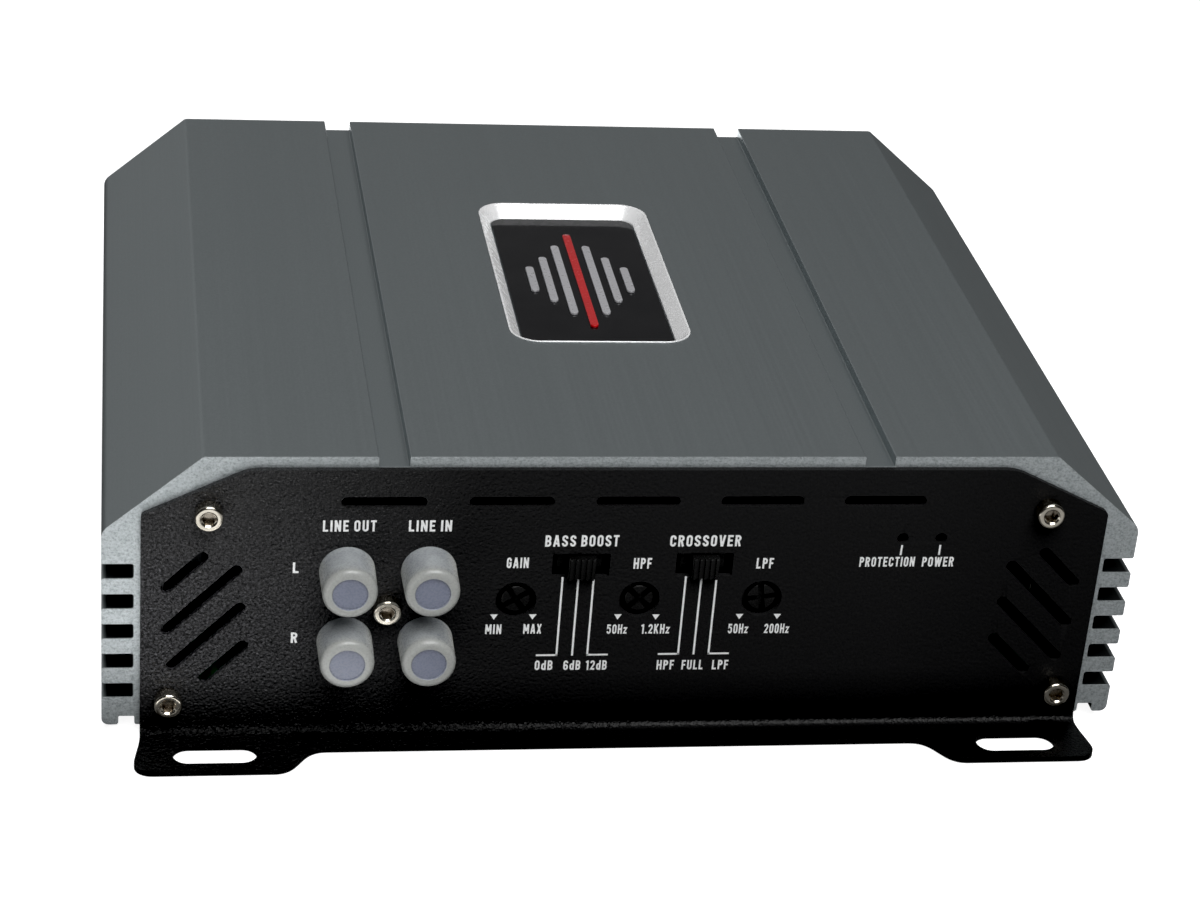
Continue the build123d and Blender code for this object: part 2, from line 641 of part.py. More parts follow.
# ---------------------------------------------- transistors on the side walls
TRANSISTOR_Y = row(2.0, 3, 32.0)


def transistor(side, y):
    """Flat power transistor standing against the side wall, leads to the board."""
    def inward(depth):
        return side * (WALL_IN - 0.40 - depth)

    body = box(inward(0), inward(1.3), y - 5.0, y + 5.0, 19.0, 34.5)
    body -= cyl_x(y, 31.6, 1.8, inward(-1), inward(3))
    body += box(inward(0.6), inward(4.5), y - 5.0, y + 5.0, 19.0, 28.5)
    for lead_y in row(y, 3, PIN_PITCH):
        y0, y1 = lead_y - 0.4, lead_y + 0.4
        body += box(inward(2.6), inward(3.2), y0, y1, 15.4, 19.2)
        body += box(inward(2.6), inward(6.9), y0, y1, 15.0, 15.6)
        body += box(inward(6.3), inward(6.9), y0, y1, PIN_END_Z, 15.4)
    return body


def clamp_screw(y, side):
    """Slotted pan head screw from the clamp bar into the wall on that side."""
    seat = side * (WALL_IN - 7.98)
    end = seat - side * 2.0
    head = round_end(cyl_x(y, CLAMP_Z, 2.8, seat, end), Axis.X, -side, 0.8)
    shank = cyl_x(y, CLAMP_Z, 1.5, seat, seat + side * 12.0)
    slot = box(end, end + side * 1.0, y - 1.7, y + 1.7, CLAMP_Z - 0.35, CLAMP_Z + 0.35)
    return head + shank - slot


def insulator_strip(side):
    strip = box(side * (WALL_IN - 0.03), side * (WALL_IN - 0.37), -60.0, 62.0, 17.0, 36.0)
    for y in CLAMP_Y:
        strip -= cyl_x(y, CLAMP_Z, 1.7, side * 80, side * 92)
    return strip


def clamp_bar(side):
    clamp = box(side * (WALL_IN - 4.95), side * (WALL_IN - 7.95), -56.0, 60.0, 22.0, 32.0)
    for y in CLAMP_Y:
        clamp -= cyl_x(y, CLAMP_Z, 1.7, side * 78, side * 86)
    return clamp


save("supply_transistors", *[transistor(-1, y) for y in TRANSISTOR_Y])
save("output_transistors", *[transistor(1, y) for y in TRANSISTOR_Y])
save("insulator_strips", *[insulator_strip(side) for side in SIDES])
save("transistor_clamp_bars", *[clamp_bar(side) for side in SIDES])
save("clamp_bar_screws", *[clamp_screw(y, side) for side in SIDES for y in CLAMP_Y])


# ----------------------------------------------------------- rear connectors
def flanged_body(x, z, width, height, y1, rim_z):
    """Block through the rear plate with a rim behind the plate."""
    body = bar_y(x, z, width, height, REAR_BODY_Y, y1)
    return body + bar_y(x, z, width + 6, height + 2 * rim_z, REAR_IN - 3.0, REAR_IN - 0.05)


def terminal_block(centre, count, pitch, hole_r):
    width = count * pitch + BARRIER_T
    x0, x1 = centre - width / 2, centre + width / 2
    z0, z1 = TERM_Z - TERM_H / 2, TERM_Z + TERM_H / 2
    block = flanged_body(centre, TERM_Z, width, TERM_H, REAR_OUT + 2.6, 2.5)
    for i in range(count + 1):
        wall_x = x0 + i * pitch
        block += box(wall_x, wall_x + BARRIER_T, REAR_OUT + 2.0, REAR_OUT + 11.0, z0, z1)
    block += box(x0, x1, REAR_OUT + 2.0, REAR_OUT + 8.0, z1 - 2.0, z1)
    for x in row(centre, count, pitch):
        block -= cyl_y(x, TERM_SCREW_Z, hole_r, REAR_OUT - 12.0, REAR_OUT + 12.0)
    return block


def terminal_contact(x, width, hole_r):
    """Clamp plate behind the screw head and its pin down to the board."""
    z = TERM_SCREW_Z
    y0 = REAR_OUT + 2.65
    plate = box(x - width / 2, x + width / 2, y0, y0 + 0.9, z - 5.6, z + 4.6)
    plate -= cyl_y(x, z, hole_r, y0 - 1, y0 + 2)
    return [plate, box(x - 1.5, x + 1.5, 69.2, 70.5, PCB_Z1 + 0.03, z)]


def terminal_screw(x, shank_r, head_r):
    z = TERM_SCREW_Z
    y0 = REAR_OUT + 3.7
    body = round_end(cyl_y(x, z, head_r, y0, y0 + 2.6), Axis.Y, 1, 0.9)
    slot = Pos(x, z) * Rot(0, 0, 45) * cross(head_r * 1.25, 0.9)
    body -= along_y(slot, y0 + 1.3, y0 + 4)
    return body + cyl_y(x, z, shank_r, REAR_OUT - 9.5, y0 + 0.5)


contacts = []
for name, centre, count, pitch, hole_r, contact_w, shank_r, head_r in TERMINALS:
    save(name + "_terminal_block", terminal_block(centre, count, pitch, hole_r))
    for i, x in enumerate(row(centre, count, pitch), start=1):
        contacts += terminal_contact(x, contact_w, hole_r)
        save(f"{name}_screw_{i}", terminal_screw(x, shank_r, head_r))
save("terminal_contacts", *contacts)

# ---------------------------------------------------------------- blade fuse
FUSE_W, FUSE_H = 5.1, 19.1
FUSE_Y0, FUSE_Y1 = REAR_OUT - 3.3, REAR_OUT + 9.2
BLADE_Z = [FUSE_Z + side * 6.6 for side in SIDES]     # lower, upper

holder = flanged_body(FUSE_X, FUSE_Z, HOLDER_W, HOLDER_H, REAR_OUT + 1.6, 3)
holder -= bar_y(FUSE_X, FUSE_Z, 5.6, 19.6, REAR_OUT - 3.4, REAR_OUT + 3)
for z in BLADE_Z:
    holder -= bar_y(FUSE_X, z, 1.6, 6.0, 69.0, REAR_OUT - 3)
save("fuse_holder", holder)


def fuse_clip(z, upper):
    """Sleeve round a blade with a leg to the board; the upper leg steps inwards first."""
    x0, x1, top, foot = FUSE_X - 0.78, FUSE_X + 0.78, z + 2.98, PCB_Z1 + 0.03
    clip = bar_y(FUSE_X, z, 1.56, 5.96, 67.8, REAR_OUT - 3.6)
    clip -= bar_y(FUSE_X, z, 0.8, 5.3, 69.4, REAR_OUT)
    if not upper:
        return clip + box(x0, x1, 67.0, 67.9, foot, top)
    clip += box(FUSE_X + 0.2, x1, 65.4, 67.9, z - 2.98, top)
    return clip + box(FUSE_X + 0.2, x1, 65.4, 66.2, foot, top)


save("fuse_clips", *[fuse_clip(z, z > FUSE_Z) for z in BLADE_Z])

fuse = bar_y(FUSE_X, FUSE_Z, FUSE_W, FUSE_H, FUSE_Y0, FUSE_Y1)
fuse = fillet(fuse.edges().filter_by(Axis.Y), 0.8)
for side in SIDES:
    fuse -= box(
        FUSE_X + side * 1.9, FUSE_X + side * 4, FUSE_Y0 + 4.0, FUSE_Y1 - 1.6,
        FUSE_Z - 4.5, FUSE_Z + 4.5,
    )
for z in BLADE_Z:
    fuse -= bar_y(FUSE_X, z, 0.72, 5.2, FUSE_Y0 - 1, FUSE_Y0 + 3.0)
save("blade_fuse", fuse)
save("blade_fuse_contacts", *[
    bar_y(FUSE_X, z, 0.66, 5.14, FUSE_Y0 - 7.0, FUSE_Y0 + 2.9) for z in BLADE_Z
])
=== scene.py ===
import json
import math

import bpy
from mathutils import Matrix, Vector, geometry


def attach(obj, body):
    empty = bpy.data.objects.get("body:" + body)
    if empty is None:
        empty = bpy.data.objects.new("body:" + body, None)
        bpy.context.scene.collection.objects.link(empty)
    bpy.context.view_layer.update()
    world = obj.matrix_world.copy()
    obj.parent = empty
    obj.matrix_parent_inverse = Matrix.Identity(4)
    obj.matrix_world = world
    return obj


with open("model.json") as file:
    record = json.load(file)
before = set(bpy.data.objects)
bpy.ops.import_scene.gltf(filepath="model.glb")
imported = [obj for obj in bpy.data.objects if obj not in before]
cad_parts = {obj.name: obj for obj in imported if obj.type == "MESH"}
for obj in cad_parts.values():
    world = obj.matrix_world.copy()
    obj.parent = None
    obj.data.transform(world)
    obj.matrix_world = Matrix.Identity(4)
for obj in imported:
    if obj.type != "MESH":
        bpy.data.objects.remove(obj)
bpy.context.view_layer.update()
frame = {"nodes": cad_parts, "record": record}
N = frame["nodes"]
ROOT = "amplifier"
MM = 0.001

scene = bpy.context.scene
coll = scene.collection

# ------------------------------------------------------------------ materials


class Mat:
    """Small helper around a node tree."""

    def __init__(self, name):
        self.m = bpy.data.materials.new(name)
        self.m.use_nodes = True
        self.t = self.m.node_tree
        self.t.nodes.clear()
        self.out = self.n("ShaderNodeOutputMaterial")
        self.b = self.n("ShaderNodeBsdfPrincipled")
        self.link(self.b.outputs[0], self.out.inputs["Surface"])
        self.tc = self.n("ShaderNodeTexCoord")
        self.obj = self.tc.outputs["Object"]

    def n(self, kind, **props):
        node = self.t.nodes.new(kind)
        for k, v in props.items():
            setattr(node, k, v)
        return node

    def link(self, a, b):
        self.t.links.new(a, b)

    def put(self, socket, value):
        if hasattr(value, "is_linked"):
            self.link(value, socket)
        else:
            socket.default_value = value

    def set(self, **kw):
        names = {
            "color": "Base Color", "metallic": "Metallic", "rough": "Roughness", "ior": "IOR",
            "spec": "Specular IOR Level", "coat": "Coat Weight", "coat_rough": "Coat Roughness",
            "trans": "Transmission Weight", "sss": "Subsurface Weight", "sss_radius": "Subsurface Radius",
            "sss_scale": "Subsurface Scale", "normal": "Normal", "sheen": "Sheen Weight",
            "emit": "Emission Color", "emit_s": "Emission Strength", "aniso": "Anisotropic", "alpha": "Alpha",
        }
        for k, v in kw.items():
            self.put(self.b.inputs[names[k]], v)
        return self

    def mapping(self, scale=(1, 1, 1), vector=None):
        m = self.n("ShaderNodeMapping")
        m.inputs["Scale"].default_value = scale
        self.link(vector or self.obj, m.inputs["Vector"])
        return m.outputs[0]

    def noise(self, scale, detail=3.0, rough=0.55, distort=0.0, vector=None):
        t = self.n("ShaderNodeTexNoise")
        t.inputs["Scale"].default_value = scale
        t.inputs["Detail"].default_value = detail
        t.inputs["Roughness"].default_value = rough
        t.inputs["Distortion"].default_value = distort
        self.link(vector or self.obj, t.inputs["Vector"])
        return t.outputs["Fac"]

    def voronoi(self, scale, feature="SMOOTH_F1", vector=None, random=1.0):
        t = self.n("ShaderNodeTexVoronoi", feature=feature)
        t.inputs["Scale"].default_value = scale
        t.inputs["Randomness"].default_value = random
        self.link(vector or self.obj, t.inputs["Vector"])
        return t.outputs["Distance"]

    def wave(self, scale, distort=0.0, direction="X", vector=None):
        t = self.n("ShaderNodeTexWave", wave_type="BANDS", bands_direction=direction)
        t.inputs["Scale"].default_value = scale
        t.inputs["Distortion"].default_value = distort
        self.link(vector or self.obj, t.inputs["Vector"])
        return t.outputs["Fac"]

    def ramp(self, fac, stops, interp="LINEAR"):
        r = self.n("ShaderNodeValToRGB")
        r.color_ramp.interpolation = interp
        el = r.color_ramp.elements
        while len(el) > 1:
            el.remove(el[-1])
        el[0].position = stops[0][0]
        el[0].color = self.rgba(stops[0][1])
        for pos, col in stops[1:]:
            e = el.new(pos)
            e.color = self.rgba(col)
        self.link(fac, r.inputs[0])
        return r.outputs[0]

    @staticmethod
    def rgba(c):
        if isinstance(c, (int, float)):
            return (c, c, c, 1.0)
        return (c[0], c[1], c[2], 1.0)

    def mix(self, fac, a, b, mode="MIX"):
        m = self.n("ShaderNodeMix", data_type="RGBA", blend_type=mode)
        self.put(m.inputs["Factor"], fac)
        for sock, v in ((m.inputs[6], a), (m.inputs[7], b)):
            if hasattr(v, "is_linked"):
                self.link(v, sock)
            else:
                sock.default_value = self.rgba(v)
        return m.outputs[2]

    def mixf(self, fac, a, b):
        m = self.n("ShaderNodeMix", data_type="FLOAT")
        self.put(m.inputs["Factor"], fac)
        self.put(m.inputs[2], a)
        self.put(m.inputs[3], b)
        return m.outputs[0]

    def math(self, op, a, b=None, c=None, clamp=False):
        m = self.n("ShaderNodeMath", operation=op, use_clamp=clamp)
        self.put(m.inputs[0], a)
        if b is not None:
            self.put(m.inputs[1], b)
        if c is not None:
            self.put(m.inputs[2], c)
        return m.outputs[0]

    def remap(self, v, a, b, c, d):
        m = self.n("ShaderNodeMapRange")
        self.link(v, m.inputs["Value"])
        for key, val in (("From Min", a), ("From Max", b), ("To Min", c), ("To Max", d)):
            m.inputs[key].default_value = val
        return m.outputs[0]

    def bump(self, height, distance, strength=1.0, normal=None):
        b = self.n("ShaderNodeBump")
        b.inputs["Strength"].default_value = strength
        b.inputs["Distance"].default_value = distance
        self.link(height, b.inputs["Height"])
        if normal is not None:
            self.link(normal, b.inputs["Normal"])
        return b.outputs[0]

    def xyz(self):
        s = self.n("ShaderNodeSeparateXYZ")
        self.link(self.obj, s.inputs[0])
        return s.outputs[0], s.outputs[1], s.outputs[2]


def plain(name, color, rough=0.5, metallic=0.0, var=0.25, grain=900.0, bump=0.00002, **kw):
    """Moulded or plated surface: colour and gloss vary a little, with a fine grain."""
    m = Mat(name)
    cloud = m.noise(60.0, 4.0, 0.6)
    fine = m.noise(grain, 3.0, 0.6)
    lo = tuple(c * (1 - var) for c in color)
    hi = tuple(min(1.0, c * (1 + var)) for c in color)
    col = m.ramp(cloud, [(0.3, lo), (0.7, hi)])
    r = m.remap(fine, 0.3, 0.7, max(0.02, rough - 0.06), min(1.0, rough + 0.08))
    m.set(color=col, metallic=metallic, rough=r, normal=m.bump(fine, bump, 0.6), **kw)
    return m.m


def anodised_aluminium():
    """Satin grey anodised extrusion; the saw-cut and milled ends are left bright."""
    m = Mat("anodised_aluminium")
    x, y, z = m.xyz()
    end = m.math("GREATER_THAN", m.math("ABSOLUTE", y), 0.08272)
    ax = m.math("ABSOLUTE", x)
    # the part of the cut face that the end plates cover is painted near black as shade, so it reads black through the
    # slots
    covered_cut_shade = m.math("MULTIPLY", m.math("LESS_THAN", ax, 0.0922), m.math("LESS_THAN", z, 0.0577))
    slope = m.math("ADD", z, m.math("MULTIPLY", ax, 0.4797))
    covered_cut_shade = m.math("MULTIPLY", covered_cut_shade, m.math("LESS_THAN", slope, 0.0926))
    covered_cut_shade = m.math("MULTIPLY", covered_cut_shade, end)
    speck = m.noise(2600.0, 2.0, 0.6)
    cloud = m.noise(9.0, 3.0, 0.5)
    draw = m.noise(1.0, 4.0, 0.6, vector=m.mapping((1500.0, 3.0, 1500.0)))
    broad = m.noise(1.0, 3.0, 0.6, vector=m.mapping((160.0, 1.2, 160.0)))
    grey = m.ramp(speck, [(0.25, (0.330, 0.368, 0.380)), (0.75, (0.380, 0.420, 0.432))])
    grey = m.mix(m.remap(cloud, 0.3, 0.7, 0.0, 0.22), grey, (0.405, 0.440, 0.448))
    grey = m.mix(m.remap(broad, 0.35, 0.65, 0.0, 0.12), grey, (0.300, 0.335, 0.346))
    rough_a = m.remap(draw, 0.2, 0.8, 0.40, 0.48)
    # bright end faces: fine saw marks and sparkle
    mill = m.noise(1.0, 4.0, 0.7, vector=m.mapping((900.0, 900.0, 2200.0)))
    spark = m.noise(2100.0, 2.0, 0.8)
    silver = m.ramp(mill, [(0.25, (0.29, 0.32, 0.33)), (0.55, (0.43, 0.47, 0.48)), (0.8, (0.56, 0.60, 0.61))])
    silver = m.mix(m.remap(spark, 0.42, 0.66, 0.0, 0.45), m.mix(m.remap(spark, 0.46, 0.34, 0.0, 0.45), silver, (0.20, 0.22, 0.23)), (0.66, 0.70, 0.72))
    # painted shade: the covered part of the cut face is set near black
    silver = m.mix(covered_cut_shade, silver, (0.03, 0.03, 0.032))
    rough_b = m.remap(spark, 0.3, 0.7, 0.30, 0.50)
    # deep channels between the fins, and the inside of the box, are painted near black as shade
    low = m.math("LESS_THAN", z, 0.0376)
    fin_channel_shade = m.math("MULTIPLY", low, m.remap(ax, 0.0998, 0.0990, 0.0, 1.0))
    inner_box_shade = m.math("MULTIPLY", m.math("LESS_THAN", ax, 0.0886), m.math("LESS_THAN", z, 0.0561))
    tilt = m.math("ADD", z, m.math("MULTIPLY", ax, 0.843))
    inner_box_shade = m.math("MULTIPLY", inner_box_shade, m.math("LESS_THAN", tilt, 0.1250))
    fin_channel_shade = m.math("MAXIMUM", fin_channel_shade, inner_box_shade)
    # painted shade: fin channels and the inside of the box are darkened to near black
    grey = m.mix(m.math("MULTIPLY", fin_channel_shade, 0.93), grey, (0.004, 0.004, 0.004))
    col = m.mix(end, grey, silver)
    h = m.math("ADD", m.math("MULTIPLY", draw, 0.6), m.math("MULTIPLY", speck, 0.5))
    h = m.mixf(end, h, m.math("MULTIPLY", m.math("ADD", mill, spark), 3.2))
    m.set(
        color=col, metallic=m.mixf(end, 0.90, 0.62), rough=m.mixf(end, rough_a, rough_b),
        normal=m.bump(h, 0.00003, 0.6), spec=0.3,
    )
    return m.m


def powder_coat():
    """Black leather-textured powder coat on sheet steel. Its gloss varies along x, and its tone along x and z, only to
    follow the uneven studio light: a painted pool of light at the lower left of the upright plate, painted shade
    towards the right end and on the flat flange.
    """
    m = Mat("black_powder_coat")
    x, y, z = m.xyz()
    pebble = m.voronoi(1500.0, "F1")
    small = m.voronoi(2700.0, "F1")
    fine = m.noise(3300.0, 3.0, 0.6)
    h = m.math("ADD", m.math("MULTIPLY", pebble, -1.0), m.math("MULTIPLY", small, -0.5))
    h = m.math("ADD", h, m.math("MULTIPLY", fine, 0.4))
    h = m.math("MULTIPLY", h, m.remap(x, -0.050, 0.010, 1.0, 0.22))
    speck = m.noise(1900.0, 2.0, 0.75)
    dark = m.ramp(speck, [(0.44, (0.0124, 0.0124, 0.0127)), (0.62, (0.0154, 0.0154, 0.0157))])
    # painted shade: the coat is darker towards the right end
    dark = m.mix(m.remap(x, 0.052, 0.082, 0.0, 0.45), dark, (0.0070, 0.0070, 0.0071))
    # painted light: a lighter grained tone for the lit lower left of the upright plate
    painted_light_tone = m.ramp(speck, [(0.44, (0.0050, 0.0050, 0.0054)), (0.62, (0.0660, 0.0660, 0.0710))])
    upright = m.remap(z, 0.0030, 0.0140, 0.0, 1.0)
    # where the painted light falls: the left part of the upright plate, strongest low down
    left = m.math("MULTIPLY", m.remap(x, -0.036, -0.088, 0.0, 1.0), upright)
    left = m.math("MULTIPLY", left, m.remap(z, 0.0540, 0.0320, 0.30, 1.0))
    col = m.mix(left, dark, painted_light_tone)
    # painted shade: the flat flange and foot below the bend are darker than the upright plate
    col = m.mix(upright, (0.0040, 0.0040, 0.0041), col)
    gloss = m.remap(x, -0.078, -0.030, 0.36, 0.04)
    m.set(color=col, rough=m.remap(fine, 0.3, 0.7, 0.24, 0.34), spec=m.mixf(upright, 0.10, gloss), normal=m.bump(h, 0.00030, 1.0))
    return m.m


def plated(name, color, rough, scratch=0.35, shade_reach=0.0, shade_beyond=None):
    """Plated metal: nearly mirror-like, with fine turning marks and dulled spots.

    shade_reach: how far inside (m) tight hollows such as a hex socket get painted shade from ambient occlusion.
    shade_beyond: half width (m) outside which the plating is painted dark as shade."""
    m = Mat(name)
    spot = m.noise(900.0, 3.0, 0.5)
    fine = m.noise(5200.0, 2.0, 0.6)
    cloud = m.noise(240.0, 3.0, 0.6)
    col = m.ramp(cloud, [(0.3, tuple(c * 0.86 for c in color)), (0.7, tuple(min(1, c * 1.08) for c in color))])
    if shade_reach:
        ao = m.n("ShaderNodeAmbientOcclusion")
        ao.samples = 6
        ao.inputs["Distance"].default_value = shade_reach
        # painted shade: tight hollows such as the hex socket darken with ambient occlusion
        col = m.mix(m.remap(ao.outputs["AO"], 0.25, 0.85, 0.0, 1.0), tuple(c * k for c, k in zip(color, (0.10, 0.07, 0.05))), col)
    if shade_beyond:
        x, y, z = m.xyz()
        # painted shade: beyond this half width the plating is darkened
        far = m.math("GREATER_THAN", m.math("ABSOLUTE", x), shade_beyond)
        col = m.mix(far, col, tuple(c * 0.15 for c in color))
    r = m.math("ADD", m.remap(spot, 0.35, 0.7, rough * 0.75, rough * 1.4), m.math("MULTIPLY", fine, 0.05))
    m.set(color=col, metallic=1.0, rough=r, normal=m.bump(m.math("ADD", spot, fine), 0.000004, scratch))
    return m.m


def silicone():
    """Milky translucent moulded cap: a thin clearer disc in the end, a thick cloudy rim around it."""
    m = Mat("milky_silicone")
    x, y, z = m.xyz()
    u = m.math("SUBTRACT", m.math("ABSOLUTE", m.math("SUBTRACT", x, -0.0467)), 0.0077)
    v = m.math("SUBTRACT", m.math("ABSOLUTE", m.math("SUBTRACT", z, 0.0289)), 0.0077)
    r = m.math("SQRT", m.math("ADD", m.math("MULTIPLY", u, u), m.math("MULTIPLY", v, v)))
    front = m.remap(y, -0.0905, -0.0925, 0.0, 1.0)
    disc = m.math("MULTIPLY", m.remap(r, 0.00345, 0.00325, 0.0, 1.0), front)
    cloud = m.noise(260.0, 4.0, 0.6, 0.6)
    fine = m.noise(2400.0, 3.0, 0.6)
    lw = m.n("ShaderNodeLayerWeight")
    lw.inputs["Blend"].default_value = 0.5
    # painted highlight: the cap turns lighter towards its outline at grazing view
    rim_sheen = m.remap(lw.outputs["Facing"], 0.62, 0.88, 0.0, 0.8)
    body = m.ramp(cloud, [(0.3, (0.40, 0.425, 0.445)), (0.7, (0.49, 0.515, 0.53))])
    body = m.mix(rim_sheen, body, (0.85, 0.86, 0.80))
    rim = m.mix(front, body, (0.385, 0.395, 0.380))
    col = m.mix(disc, rim, (0.225, 0.245, 0.320))
    m.set(
        color=col, rough=m.remap(fine, 0.3, 0.7, 0.22, 0.34), sss=0.35, sss_radius=(1.0, 1.0, 1.1),
        sss_scale=0.0012, spec=0.6, normal=m.bump(m.math("ADD", cloud, m.math("MULTIPLY", fine, 0.3)), 0.00010, 0.4),
    )
    clear = m.n("ShaderNodeBsdfTransparent")
    clear.inputs["Color"].default_value = (0.93, 0.94, 0.96, 1.0)
    dense = m.math("ADD", m.remap(lw.outputs["Facing"], 0.15, 0.80, 0.88, 0.56), m.math("MULTIPLY", rim_sheen, 0.30))
    dense = m.math("ADD", dense, m.remap(cloud, 0.3, 0.7, -0.05, 0.06))
    dense = m.mixf(front, dense, 0.82)
    dense = m.mixf(disc, dense, 0.74)
    mixer = m.n("ShaderNodeMixShader")
    m.put(mixer.inputs[0], dense)
    m.link(clear.outputs[0], mixer.inputs[1])
    m.link(m.b.outputs[0], mixer.inputs[2])
    m.link(mixer.outputs[0], m.out.inputs["Surface"])
    return m.m


def lens(name, color):
    m = Mat(name)
    n1 = m.noise(900.0, 3.0)
    col = m.ramp(n1, [(0.3, tuple(c * 0.8 for c in color)), (0.7, color)])
    m.set(color=col, rough=m.remap(n1, 0.3, 0.7, 0.08, 0.16), trans=0.5, ior=1.5)
    return m.m


def gloss_black():
    m = Mat("gloss_black")
    dust = m.noise(2600.0, 2.0, 0.7)
    cloud = m.noise(80.0, 3.0)
    col = m.ramp(cloud, [(0.3, (0.004, 0.004, 0.005)), (0.7, (0.008, 0.008, 0.009))])
    r = m.math("ADD", m.remap(dust, 0.55, 0.75, 0.07, 0.20), m.remap(cloud, 0.3, 0.7, 0.0, 0.05))
    m.set(color=col, rough=r, spec=0.33, normal=m.bump(cloud, 0.00002, 0.3))
    return m.m


def board_green():
    m = Mat("green_board")
    weave = m.math("MULTIPLY", m.wave(420.0, 0.4, "X"), m.wave(420.0, 0.4, "Y"))
    tracks = m.voronoi(230.0, "F1", random=0.75)
    lines = m.math("GREATER_THAN", m.wave(90.0, 2.5, "X"), 0.72)
    base = m.mix(lines, (0.003, 0.026, 0.012), (0.006, 0.046, 0.020))
    base = m.mix(m.math("LESS_THAN", tracks, 0.14), base, (0.30, 0.29, 0.26))
    m.set(color=base, rough=0.38, spec=0.3, normal=m.bump(m.math("ADD", weave, lines), 0.00002, 0.4))
    return m.m


def copper():
    m = Mat("enamelled_copper")
    wires = m.wave(900.0, 0.3, "Z")
    cloud = m.noise(300.0, 3.0)
    col = m.ramp(cloud, [(0.3, (0.32, 0.10, 0.03)), (0.7, (0.55, 0.20, 0.06))])
    m.set(color=col, metallic=0.85, rough=0.28, coat=0.6, normal=m.bump(wires, 0.0001, 0.6))
    return m.m


def fuse_plastic():
    m = Mat("green_fuse")
    n1 = m.noise(400.0, 3.0)
    col = m.ramp(n1, [(0.3, (0.02, 0.33, 0.10)), (0.7, (0.04, 0.45, 0.16))])
    m.set(color=col, rough=m.remap(n1, 0.3, 0.7, 0.12, 0.24), trans=0.35, ior=1.5, normal=m.bump(n1, 0.00003, 0.3))
    return m.m


def white_print():
    """Slightly uneven silk-screen ink."""
    m = Mat("white_ink")
    n1 = m.noise(2500.0, 3.0, 0.6)
    col = m.ramp(n1, [(0.3, (0.74, 0.75, 0.75)), (0.65, (0.88, 0.89, 0.89))])
    m.set(color=col, rough=0.55, normal=m.bump(n1, 0.00003, 0.5))
    return m.m


MATS = {
    "anodised_aluminium": anodised_aluminium(),
    "black_powder_coat": powder_coat(),
    "black_paint": plain("black_paint", (0.012, 0.012, 0.013), 0.42, 0.0, 0.25, 1400.0, 0.00004),
    "nickel_steel": plated("nickel_steel", (0.62, 0.58, 0.50), 0.15, shade_reach=0.0022),
    "polished_bezel": plain("polished_bezel", (0.95, 0.955, 0.96), 0.26, 0.22, 0.02, 400.0, 0.0),
    "gloss_black": gloss_black(),
    "silver_emblem": plain("silver_emblem", (0.52, 0.52, 0.54), 0.30, 0.35, 0.06, 1500.0, 0.000004),
    "red_accent": plain("red_accent", (0.47, 0.010, 0.012), 0.22, 0.0, 0.15, 2000.0, 0.00001, coat=0.6),
    "green_board": board_green(),
    "black_plastic": plain("black_plastic", (0.0045, 0.0045, 0.0045), 0.36, 0.0, 0.3, 1800.0, 0.00003, spec=0.22),
    "nickel_plating": plated("nickel_plating", (0.82, 0.80, 0.75), 0.14),
    "white_nylon": plain("white_nylon", (0.78, 0.78, 0.74), 0.45, 0.0, 0.06, 1500.0, 0.00002, sss=0.2, sss_scale=0.001),
    "gold_brass": plated("gold_brass", (0.83, 0.62, 0.26), 0.22),
    "red_lens": lens("red_lens", (0.060, 0.006, 0.006)),
    "blue_lens": lens("blue_lens", (0.006, 0.012, 0.060)),
    "ferrite": plain("ferrite", (0.03, 0.03, 0.034), 0.6, 0.0, 0.4, 1200.0, 0.00006),
    "powdered_iron": plain("powdered_iron", (0.55, 0.48, 0.06), 0.5, 0.0, 0.2, 1600.0, 0.00004),
    "enamelled_copper": copper(),
    "capacitor_sleeve": plain("capacitor_sleeve", (0.012, 0.014, 0.05), 0.28, 0.0, 0.25, 900.0, 0.00002),
    "epoxy_black": plain("epoxy_black", (0.014, 0.014, 0.014), 0.55, 0.0, 0.3, 2600.0, 0.00005),
    "zinc_steel": plated("zinc_steel", (0.66, 0.68, 0.70), 0.30, shade_beyond=0.0755),
    "grey_silicone": plain("grey_silicone", (0.40, 0.40, 0.38), 0.7, 0.0, 0.15, 1300.0, 0.00004),
    "milky_silicone": silicone(),
    "black_knob": plain("black_knob", (0.0075, 0.0075, 0.0075), 0.26, 0.0, 0.35, 2200.0, 0.00002, spec=0.20),
    "green_fuse": fuse_plastic(),
}
INK = white_print()

for row in frame["record"]["subparts"]:
    obj = N[row["node"]]
    obj.data.materials.clear()
    obj.data.materials.append(MATS[row["material_slot"]])

# --------------------------------------------------------------- soft edges


def soften(name, width, segments=2, angle=35.0):
    """Small rounded edges on a hard-edged CAD node."""
    o = N[name]
    w = o.modifiers.new("weld", "WELD")
    w.merge_threshold = 1e-6
    b = o.modifiers.new("bevel", "BEVEL")
    b.width = width * MM
    b.segments = segments
    b.limit_method = "ANGLE"
    b.angle_limit = math.radians(angle)
    b.use_clamp_overlap = True
    b.harden_normals = False
    n = o.modifiers.new("normals", "WEIGHTED_NORMAL")
    n.keep_sharp = False
    n.weight = 80


# --------------------------------------------------------- printed lettering
FRONT_Y = -0.0842
REAR_Y = 0.0842
INK_T = 0.03 * MM
PRINT_DZ = -0.17          # the print sits a little lower than its first measure


def mesh_piece(name, verts, faces, mat):
    me = bpy.data.meshes.new(name)
    me.from_pydata([tuple(v) for v in verts], [], faces)
    me.update()
    o = bpy.data.objects.new(name, me)
    coll.objects.link(o)
    me.materials.append(mat)
    return o


# Plain condensed capitals drawn as strokes of even width. Cap height is 1.
T_ = 0.175                 # stroke width
H_ = T_ / 2


